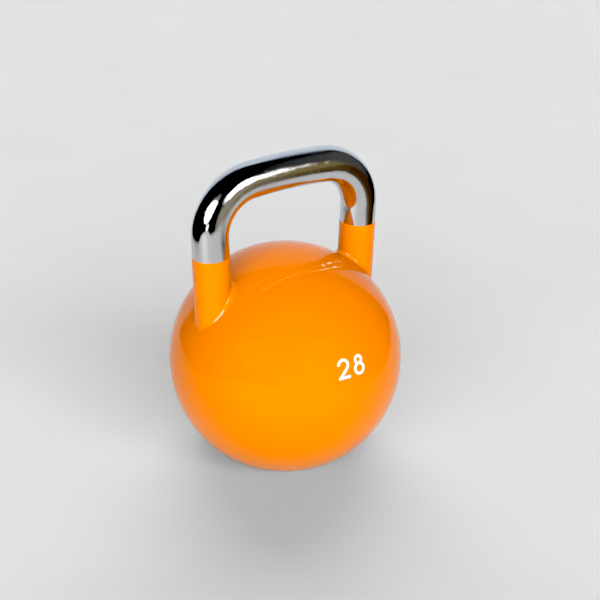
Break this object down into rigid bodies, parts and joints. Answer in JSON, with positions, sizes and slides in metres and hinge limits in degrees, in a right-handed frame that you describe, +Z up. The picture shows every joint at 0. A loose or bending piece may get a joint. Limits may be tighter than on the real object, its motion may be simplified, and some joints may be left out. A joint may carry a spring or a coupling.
{
  "type": "kettlebell",
  "caption": "Competition kettlebell: a round painted steel ball on a flat foot, with a squared polished loop handle on top.",
  "frame": {"origin": "middle of the flat foot's resting face", "axes": "+Z up through the ball and the handle, +X along the grip bar, -Y out of the face that carries the weight mark"},
  "size_m": [0.21, 0.21, 0.28],
  "materials": {
    "body_paint": "gloss",
    "weld_paint": "gloss",
    "horn_paint": "gloss",
    "grip_chrome": "polished",
    "bare_steel": "satin",
    "weld_metal": "matte",
    "shot_resin": "matte",
    "plug_steel": "satin",
    "seal_fibre": "matte",
    "mark_ink": "satin"
  },
  "bodies": {
    "bell": {"upper_shell": "body_paint", "lower_shell": "body_paint", "equator_weld": "weld_paint", "left_horn": "horn_paint", "right_horn": "horn_paint", "grip_bar": "grip_chrome", "backing_ring": "bare_steel", "filler_bush": "bare_steel", "bush_weld": "weld_metal", "left_horn_weld": "weld_metal", "right_horn_weld": "weld_metal", "left_tang_weld": "weld_metal", "right_tang_weld": "weld_metal", "shot_ballast": "shot_resin", "weight_mark": "mark_ink"},
    "plug": {"filler_plug": "plug_steel", "plug_seal": "seal_fibre"}
  },
  "joints": [
    {"name": "plug_out", "type": "slide", "parent": "bell", "child": "plug", "axis": [0, 0, -1], "range_m": [0, 0.03]}
  ]
}
